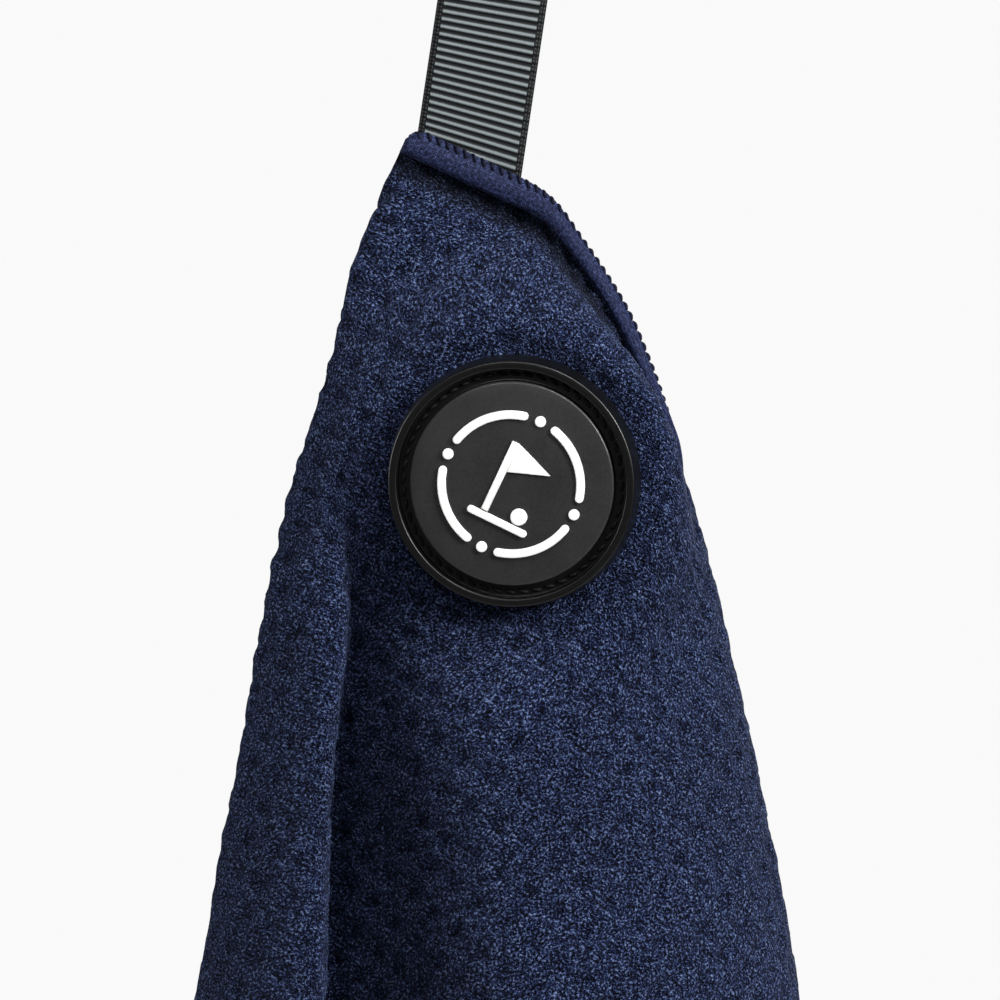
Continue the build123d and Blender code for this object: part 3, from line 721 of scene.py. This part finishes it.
# ---------------------------------------------------------------- hem bands
STITCH_PITCH = 2.0
PINCH = 0.16
BAND_STEP = 0.5
BAND_POINTS = 22
BAND_SQUARENESS = 0.92  # 1 is an ellipse, and less is fuller
BAND_HALF_THICKNESS = 1.3
BAND_LIFT = 0.5  # the front of the band stands over the cloth
BAND_EDGE = 0.25  # its folded edge lies this far inside the towel's
BAND_OVERLAP = 0.5  # its other edge reaches this far past the hem's width
BAND_END = 0.8  # its ends are rounded over this length
BACK_OFFSET = 9  # keeps the two faces of a band apart in its flat coordinates
CORNER_ROUNDING = 4.5
NEAR_HEM_START = 18.0  # the rolled corner hides what lies above this


def edge_place(edge, run, inward):
    """Flat coordinates of a place beside one edge: run along it and inward from it."""
    return {
        "top": (run, inward),
        "bottom": (run, TOWEL_SIDE - inward),
        "near": (inward, run),
        "far": (TOWEL_SIDE - inward, run),
    }[edge]


def rounded_end(edge, runs):
    """How far the top hem's corner at its near end is rounded off."""
    if edge != "top":
        return 0 * runs
    left = np.clip(CORNER_ROUNDING - runs, 0, CORNER_ROUNDING)
    return CORNER_ROUNDING - np.sqrt(CORNER_ROUNDING**2 - left**2)


def hem_band(name, edge, start, end, node):
    """A puffed fold of binding along one edge, pinched by each stitch. The near one lies behind the pile."""
    runs = np.arange(start, end + BAND_STEP / 2, BAND_STEP)[:, None]
    angle = np.arange(BAND_POINTS) * 2 * pi / BAND_POINTS
    shape_in, shape_out = (np.sign(f(angle)) * np.abs(f(angle)) ** BAND_SQUARENESS for f in (np.cos, np.sin))
    pinch = PINCH * np.cos(2 * pi * runs / STITCH_PITCH)
    half = (HEM_WIDTH + BAND_OVERLAP - BAND_EDGE) / 2
    outer_share = np.clip(-shape_in, 0, 1)
    inward = BAND_EDGE + half + shape_in * half + pinch * outer_share
    inward = inward + rounded_end(edge, runs) * (1 - shape_in) / 2
    puff = BAND_HALF_THICKNESS + 0.12 * soft_noise(runs, runs * 0, 5.0, 11)
    height = shape_out * puff * (1 - 0.25 * outer_share) + BAND_LIFT * np.clip(1 - outer_share, 0, 1)
    if edge == "near":
        height = -0.95 + 0.45 * shape_out
    ends = np.minimum(np.minimum(runs - start, end - runs) / BAND_END, 1)
    height = height * np.sqrt(np.clip(1 - (1 - ends) ** 2, 0.04, 1))
    u, v = (np.broadcast_to(part, inward.shape) for part in edge_place(edge, runs, inward))
    rings = on_cloth(u, v, height)
    places, faces = swept(rings)
    flat = np.stack(np.broadcast_arrays(runs, inward + BACK_OFFSET * (shape_out < 0)), -1).reshape(-1, 2)
    if edge in ("near", "bottom"):
        faces = [face[::-1] for face in faces]
    return mesh_piece(name, places, faces, flat, SATIN, "towel", "hem_satin", [node])


hems = [
    hem_band("top_hem_binding", "top", EDGE_ROOM, TOWEL_SIDE - EDGE_ROOM, "top_hem_band"),
    hem_band("bottom_hem_binding", "bottom", EDGE_ROOM, TOWEL_SIDE - EDGE_ROOM, "bottom_hem_band"),
    hem_band("near_side_hem_binding", "near", NEAR_HEM_START, TOWEL_SIDE - HEM_WIDTH, "near_side_hem_band"),
    hem_band("far_side_hem_binding", "far", HEM_WIDTH, TOWEL_SIDE - HEM_WIDTH, "far_side_hem_band"),
]

THREAD_RADIUS = 0.36
OVERLOCK_REACH = 1.35


def overlock(edge):
    """Slanted loops of thread over one edge, one to each pinch."""
    middle = np.arange(STITCH_PITCH, TOWEL_SIDE - 1, STITCH_PITCH)[:, None]
    inward = OVERLOCK_REACH * np.array([1.1, 0.95, 0.6, 0.3, 0.2, 0.3, 0.6, 0.95, 1.1])
    height = np.array([0.7, 1.12, 1.05, 0.65, 0.0, -0.65, -0.9, -1.0, -0.5])
    slant = np.linspace(1.3, -1.3, 9)
    if edge == "near":
        middle = middle[middle[:, 0] > NEAR_HEM_START]
        height = -0.2 - 0.45 * (1 - height / height.max())
    u, v = edge_place(edge, middle + slant, inward + rounded_end(edge, middle))
    u, v = (np.clip(part, -EDGE_ROOM, TOWEL_SIDE + EDGE_ROOM) for part in (u, v))
    return on_cloth(u, v, np.broadcast_to(height, u.shape))


overlock_paths = np.concatenate([overlock(edge) for edge in ("top", "bottom", "near", "far")])
overlock_radius = THREAD_RADIUS * np.array([0.6, 1, 1, 1, 1, 1, 1, 1, 0.6])
overlock_piece = mesh_piece(
    "overlock_stitches",
    *threads(overlock_paths, overlock_radius, sides=5),
    NAVY_THREAD,
    "towel",
    "navy_thread",
    ["overlock_thread"],
)

# ---------------------------------------------------------------- ribbon
RIBBON_THICKNESS = 0.7
LOOP_RADIUS = 4.0 + RIBBON_THICKNESS / 2
LOOP_TO_TWIST = 38.0
TAIL_END = LOOP_TO_HEM + 9.0
RIB_SKEW = [(40, 0.0), (60, 0.087), (LOOP_TO_HEM, 0.167), (TAIL_END, 0.3)]
STRAP_MIDDLE = 54.4
ROWS_PER_RIB = 8
RIBBON_POINTS = 25
LINE_POINTS, BEND_POINTS = 900, 119  # on each run of the ribbon's line, and round the bar
HEADING_STEP = 0.3
RIBBON_END = 0.02


def ribbon_line():
    """The ribbon's middle line, from the front tail's end over the bar to the back one, as Y and height."""
    down = np.linspace(TAIL_END, 0, LINE_POINTS)
    gap = RIBBON_THICKNESS / 2
    away = gap + (LOOP_RADIUS - gap) * (1 - smooth_step(down, 0, LOOP_TO_TWIST))
    turn = np.linspace(pi, 0, BEND_POINTS + 2)[1:-1]
    y = np.r_[-away, LOOP_RADIUS * np.cos(turn), away[::-1]]
    up = np.r_[-down, LOOP_RADIUS * np.sin(turn), -down[::-1]]
    return y, up


line_y, line_up = ribbon_line()
line_run = np.r_[0, np.cumsum(np.hypot(np.diff(line_y), np.diff(line_up)))]
RIBBON_LENGTH = line_run[-1]


def on_line(run):
    return np.array([np.interp(run, line_run, part) for part in (line_y, line_up)])


def ribbon_places(run, sideways, height):
    """Places over the ribbon's middle line, at a distance along it, across it and out from it."""
    y, up = on_line(run)
    ahead_y, ahead_up = on_line(run + HEADING_STEP) - on_line(run - HEADING_STEP)
    size = np.hypot(ahead_y, ahead_up)
    y = y - ahead_up / size * height
    up = up + ahead_y / size * height
    return UP_RIBBON * up[..., None] + ACROSS_RIBBON * sideways[..., None] + BACKWARD * y[..., None]


RIBS = round(RIBBON_LENGTH / RIB_PITCH)


def ribbon_rows(first_rib, last_rib):
    """Rings of points round the ribbon, in rows that follow its ribs."""
    count = np.linspace(first_rib, last_rib, (last_rib - first_rib) * ROWS_PER_RIB + 1)[:, None]
    middle = count * RIBBON_LENGTH / RIBS
    face = np.linspace(-1, 1, RIBBON_POINTS)
    face = np.sign(face) * (1 - (1 - np.abs(face)) ** 1.15)
    sideways = np.r_[face, face[::-1]] * RIBBON_WIDTH / 2
    side = np.r_[np.ones(RIBBON_POINTS), -np.ones(RIBBON_POINTS)]
    down = np.interp(middle, line_run, -line_up)
    on_back = np.where(middle > RIBBON_LENGTH / 2, 1, -1)
    run = middle + on_back * along(RIB_SKEW, down) * sideways
    run = np.clip(run, RIBBON_END, RIBBON_LENGTH - RIBBON_END)
    place = (count % 1) * 2 - 1
    rib = np.sqrt(np.clip(1 - place**2, 0, 1))
    from_edge = RIBBON_WIDTH / 2 - np.abs(sideways)
    in_selvedge = 1 - smooth_step(from_edge, SELVEDGE - 0.2, SELVEDGE + 0.2)
    lifted = 0.19 + 0.16 * rib * (1 - 0.75 * in_selvedge)
    rounded = np.maximum(np.sqrt(np.clip(from_edge / 0.3, 0.0, 1)), 0.15)
    rings = ribbon_places(run, np.broadcast_to(sideways, run.shape), side * lifted * rounded)
    flat = np.stack(np.broadcast_arrays(sideways, count * RIB_PITCH), -1)
    return rings, flat.reshape(-1, 2)


def ribbon_piece(name, first_rib, last_rib, nodes):
    rings, flat = ribbon_rows(first_rib, last_rib)
    places, faces = swept(rings)
    return mesh_piece(name, places, faces, flat, RIBBON, None, "ribbon", nodes)


to_strap = np.interp(-STRAP_MIDDLE, line_up[:LINE_POINTS], line_run[:LINE_POINTS])
front_cut = round(to_strap / RIBBON_LENGTH * RIBS)
back_cut = RIBS - front_cut
ribbon_loop = ribbon_piece(
    "ribbon_loop", front_cut, back_cut, ["ribbon_bight", "ribbon_front_run", "ribbon_back_run"]
)
front_tail = ribbon_piece("ribbon_front_tail_web", 0, front_cut, ["ribbon_front_strap", "ribbon_front_tail"])
back_tail = ribbon_piece("ribbon_back_tail_web", back_cut, RIBS, ["ribbon_back_strap", "ribbon_back_tail"])

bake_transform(ribbon_loop)

for tail in (front_tail, back_tail):
    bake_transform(tail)

# Stitches that sew the tails to the hem, seen from behind.
SEAM_STITCHES, SEAM_ROWS = 8, 2
SEAM_THREAD_RADIUS = 0.24


def seam_paths():
    """Short arches of thread in rows along the hem, on the back of the rear tail."""
    arch = np.array([-0.1, 0.3, 0.42, 0.42, 0.3, -0.1])
    length = np.linspace(-0.95, 0.95, 6)
    paths = []
    for row in range(SEAM_ROWS):
        down = HEM_WIDTH / 2 + (row - (SEAM_ROWS - 1) / 2) * HEM_WIDTH / 2
        for k in range(SEAM_STITCHES):
            across = (k - (SEAM_STITCHES - 1) / 2) * RIBBON_WIDTH / SEAM_STITCHES
            middle = SEAM + DOWN_SIDE * down + ALONG_HEM * across
            lift = BACKWARD * (RIBBON_THICKNESS + arch)[:, None]
            paths.append(middle + ALONG_HEM * length[:, None] + lift)
    return np.array(paths)


mesh_piece(
    "seam_stitches",
    *threads(seam_paths(), SEAM_THREAD_RADIUS * np.array([0.7, 1, 1, 1, 1, 0.7])),
    GREY_THREAD,
    "towel",
    "grey_thread",
    ["seam_thread"],
)

# ---------------------------------------------------------------- patch
RIM_RADIUS, BASE_RADIUS = 24.6, 25.4
RIM_WIDTH = 1.6
DISC_RADIUS = 20.45
PATCH_HEIGHT, DISC_HEIGHT, GROOVE_FLOOR = 4.6, 3.9, 1.6
DISC_CROWN = 0.8
SKIRT = 1.0  # the outer wall reaches this far into the pile
LATHE_STEPS, FILLET_POINTS, DISC_POINTS = 192, 5, 14


def fillet(corner, before, after, radius):
    """Points that round a corner of a profile."""
    corner, before, after = (np.array(point, float) for point in (corner, before, after))
    first = (before - corner) / np.linalg.norm(before - corner) * radius
    last = (after - corner) / np.linalg.norm(after - corner) * radius
    t = np.linspace(0, 1, FILLET_POINTS)[:, None]
    return corner + first * (1 - t) ** 2 + last * t**2


def disc_height(radius):
    """The crowned face of the disc, over the patch's back."""
    return DISC_HEIGHT + DISC_CROWN * (1 - (radius / DISC_RADIUS) ** 2)


def patch_profile():
    """Radius and height from under the outer wall's foot, over rim and groove, to the middle of the disc."""
    groove = RIM_RADIUS - RIM_WIDTH
    corners = [
        ((RIM_RADIUS, PATCH_HEIGHT), 0.4),
        ((groove, PATCH_HEIGHT), 0.35),
        ((groove, GROOVE_FLOOR), 0.3),
        ((DISC_RADIUS, GROOVE_FLOOR), 0.3),
        ((DISC_RADIUS, DISC_HEIGHT), 0.5),
    ]
    path = [(BASE_RADIUS, -SKIRT)] + [corner for corner, _ in corners] + [(0, DISC_HEIGHT)]
    points = [np.array([[BASE_RADIUS - 3, -SKIRT], [BASE_RADIUS - 0.2, -SKIRT], [BASE_RADIUS, -SKIRT + 0.2]])]
    for k, (corner, radius) in enumerate(corners):
        points.append(fillet(corner, path[k], path[k + 2], radius))
    radii = np.linspace(DISC_RADIUS - 0.8, 0.02, DISC_POINTS)
    points.append(np.stack([radii, disc_height(radii)], -1))
    return np.concatenate(points)


def on_patch(x, y, height):
    """A place over the patch's back, with x to its right and y up."""
    x, y, height = (np.asarray(part, float)[..., None] for part in (x, y, height))
    return PATCH_BACK + PATCH_RIGHT * x + PATCH_UP * y + PATCH_NORMAL * height


profile = patch_profile()
radii, heights = profile[:, :1], profile[:, 1:]
spin = np.arange(LATHE_STEPS) * 2 * pi / LATHE_STEPS
heights = np.broadcast_to(heights, (len(profile), LATHE_STEPS))
lathe = on_patch(radii * np.cos(spin), radii * np.sin(spin), heights)
profile_run = np.r_[0, np.cumsum(np.hypot(*np.diff(profile, axis=0).T))]
patch_flat = np.stack(np.broadcast_arrays(spin * RIM_RADIUS, profile_run[:, None]), -1).reshape(-1, 2)
# The span of the groove along the profile, painted near black in the black rubber as shade.
in_groove = profile_run[(radii[:, 0] > DISC_RADIUS - 0.05) & (radii[:, 0] < RIM_RADIUS - RIM_WIDTH + 0.02)]
groove_shade_span = (in_groove[0] + 0.3, in_groove[-1] - 0.3)
BLACK_RUBBER = rubber_material(
    "black_rubber", (0.015, 0.015, 0.0155), (0.032, 0.032, 0.033), 0.36, 0.03, groove_shade_span
)
mesh_piece("patch_moulding", *swept(lathe), patch_flat, BLACK_RUBBER, "towel", "black_rubber", ["patch_base"])

PATCH_STITCHES, PATCH_STITCH_CIRCLE, PATCH_STITCH_LENGTH = 52, 21.9, 1.9


def patch_stitch_paths(height, outward):
    """Short arches of thread round the groove, at a height over the patch's back."""
    middle = radians(3) + np.arange(PATCH_STITCHES)[:, None] * 2 * pi / PATCH_STITCHES
    half = PATCH_STITCH_LENGTH / 2 / PATCH_STITCH_CIRCLE
    angle = middle + np.linspace(-half, half, 6)
    arch = np.array([-0.15, 0.3, 0.42, 0.42, 0.3, -0.15]) * outward
    radius = PATCH_STITCH_CIRCLE + np.linspace(-0.22, 0.22, 6)
    height = np.broadcast_to(height + arch, angle.shape)
    return on_patch(np.cos(angle) * radius, np.sin(angle) * radius, height)


PATCH_THREAD_RADIUS = 0.33 * np.array([0.7, 1, 1, 1, 1, 0.7])
for name, height, outward, node in (
    ("patch_groove_stitches", GROOVE_FLOOR, 1, "patch_front_stitches"),
    ("patch_rear_stitches", -CLOTH_THICKNESS - PATCH_GAP, -1, "patch_back_stitches"),
):
    mesh_piece(
        name,
        *threads(patch_stitch_paths(height, outward), PATCH_THREAD_RADIUS, sides=8),
        BLACK_THREAD,
        "towel",
        "black_thread",
        [node],
    )

# ---------------------------------------------------------------- emblem: arcs, dots, and a flag on a green
RING_RADIUS, RING_LINE, RING_ARCS, ARC_SPAN = 13.9, 1.7, 4, radians(62)
DOT_RADIUS = RING_LINE * 0.65
POLE_SIZE, POLE_AT = (1.5, 15.0), (-2.6, 0.6)
FLAG = ((-1.85, 8.1), (6.4, 5.0), (-1.85, 1.9))
BALL_RADIUS, BALL_AT = 1.7, (4.2, -5.2)
GREEN_SIZE, GREEN_AT = (13.0, 1.5), (0.6, -7.9)
EMBLEM_HEIGHT, EMBLEM_EDGE, EMBLEM_SUNK = 0.6, 0.16, 0.1


def round_outline(centre, radius, steps=32):
    angle = np.arange(steps) * 2 * pi / steps
    return np.stack([centre[0] + radius * np.cos(angle), centre[1] + radius * np.sin(angle)], -1)


def arc_outline(middle, steps=24, cap_steps=9):
    """One arc of the ring, with round ends, about the turn of its middle."""
    half = RING_LINE / 2
    swing = np.linspace(middle - ARC_SPAN / 2, middle + ARC_SPAN / 2, steps)
    cap = np.linspace(0, pi, cap_steps)[1:-1]
    ray = np.stack([np.cos(swing), np.sin(swing)], -1)
    ends = []
    for place, start in ((swing[-1], swing[-1]), (swing[0], swing[0] + pi)):
        centre = RING_RADIUS * np.array([cos(place), sin(place)])
        ends.append(centre + half * np.stack([np.cos(start + cap), np.sin(start + cap)], -1))
    return np.concatenate([(RING_RADIUS + half) * ray, ends[0], (RING_RADIUS - half) * ray[::-1], ends[1]])


def slot_outline(size, centre, steps=9):
    """A bar with round ends."""
    half_run, radius = size[0] / 2 - size[1] / 2, size[1] / 2
    swing = np.linspace(-pi / 2, pi / 2, steps)
    right = np.stack([half_run + radius * np.cos(swing), radius * np.sin(swing)], -1)
    return np.concatenate([right, -right]) + centre


def box_outline(size, centre):
    half = np.array(size) / 2
    return np.array([(-1, -1), (1, -1), (1, 1), (-1, 1)]) * half + centre


def raised(outline, height_low, height_high, edge):
    """A raised shape with a rounded top edge, from its outline in order against the clock."""
    outline = np.asarray(outline, float)
    ahead = np.roll(outline, -1, 0) - outline
    ahead /= np.linalg.norm(ahead, axis=1, keepdims=True)
    normal = np.stack([ahead[:, 1], -ahead[:, 0]], -1)
    corner = normal + np.roll(normal, 1, 0)
    corner /= np.maximum(np.sum(corner * corner, axis=1, keepdims=True), 0.8) / 2
    turn = np.linspace(0, pi / 2, 4)
    rings = [(0, height_low)] + [(edge * (1 - cos(t)), height_high - edge * (1 - sin(t))) for t in turn]
    rings.append((edge + 0.1, height_high))
    inset = np.array([outline - corner * shrink for shrink, _ in rings])
    heights = np.array([[height] for _, height in rings])
    return swept(on_patch(inset[..., 0], inset[..., 1], np.broadcast_to(heights, inset.shape[:2])))


emblem_outlines = [arc_outline(radians(45) + arc * 2 * pi / RING_ARCS) for arc in range(RING_ARCS)]
for dot in range(RING_ARCS):
    turn = dot * 2 * pi / RING_ARCS
    emblem_outlines.append(round_outline((RING_RADIUS * cos(turn), RING_RADIUS * sin(turn)), DOT_RADIUS))
emblem_outlines += [
    box_outline(POLE_SIZE, POLE_AT),
    np.array(FLAG)[::-1],
    round_outline(BALL_AT, BALL_RADIUS),
    slot_outline(GREEN_SIZE, GREEN_AT),
]
emblem_places, emblem_faces = [], []
for outline in emblem_outlines:
    middle = outline.mean(axis=0)
    top = disc_height(np.hypot(*middle)) - EMBLEM_SUNK + EMBLEM_HEIGHT
    places, faces = raised(outline, DISC_HEIGHT - EMBLEM_SUNK, top, EMBLEM_EDGE)
    first = sum(len(part) for part in emblem_places)
    emblem_places.append(places)
    emblem_faces += [[corner + first for corner in face] for face in faces]
emblem_places = np.concatenate(emblem_places)
mesh_piece(
    "patch_flag_emblem",
    emblem_places,
    emblem_faces,
    np.zeros((len(emblem_places), 2)),
    WHITE_RUBBER,
    "towel",
    "white_rubber",
    ["patch_emblem"],
)

# ---------------------------------------------------------------- carried-over CAD nodes, floor
for node, material in (("magnet", PLATED), ("magnet_retainer", RETAINER)):
    for slot in frame["nodes"][node].material_slots:
        slot.material = material


def add_floor():
    material, tree, shader = new_material("floor", 0.9)
    place = add_node(tree, "ShaderNodeTexCoord").outputs["Object"]
    colour = ramp(tree, noise(tree, place, 6.0), [(0.3, 0.50), (0.7, 0.54)])
    tree.links.new(colour, shader.inputs["Base Color"])
    shader.inputs["Emission Color"].default_value = (1, 1, 1, 1)
    tree.links.new(shown_level(tree, 0.0, FLOOR_GLOW), shader.inputs["Emission Strength"])
    mesh = bpy.data.meshes.new("floor")
    corners = ((-1, -1), (1, -1), (1, 1), (-1, 1))
    level = cad_low[2] - FLOOR_BELOW
    mesh.from_pydata([(x * FLOOR_REACH, y * FLOOR_REACH, level) for x, y in corners], [], [(0, 1, 2, 3)])
    mesh.materials.append(material)
    floor = bpy.data.objects.new("floor", mesh)
    scene.collection.objects.link(floor)


add_floor()
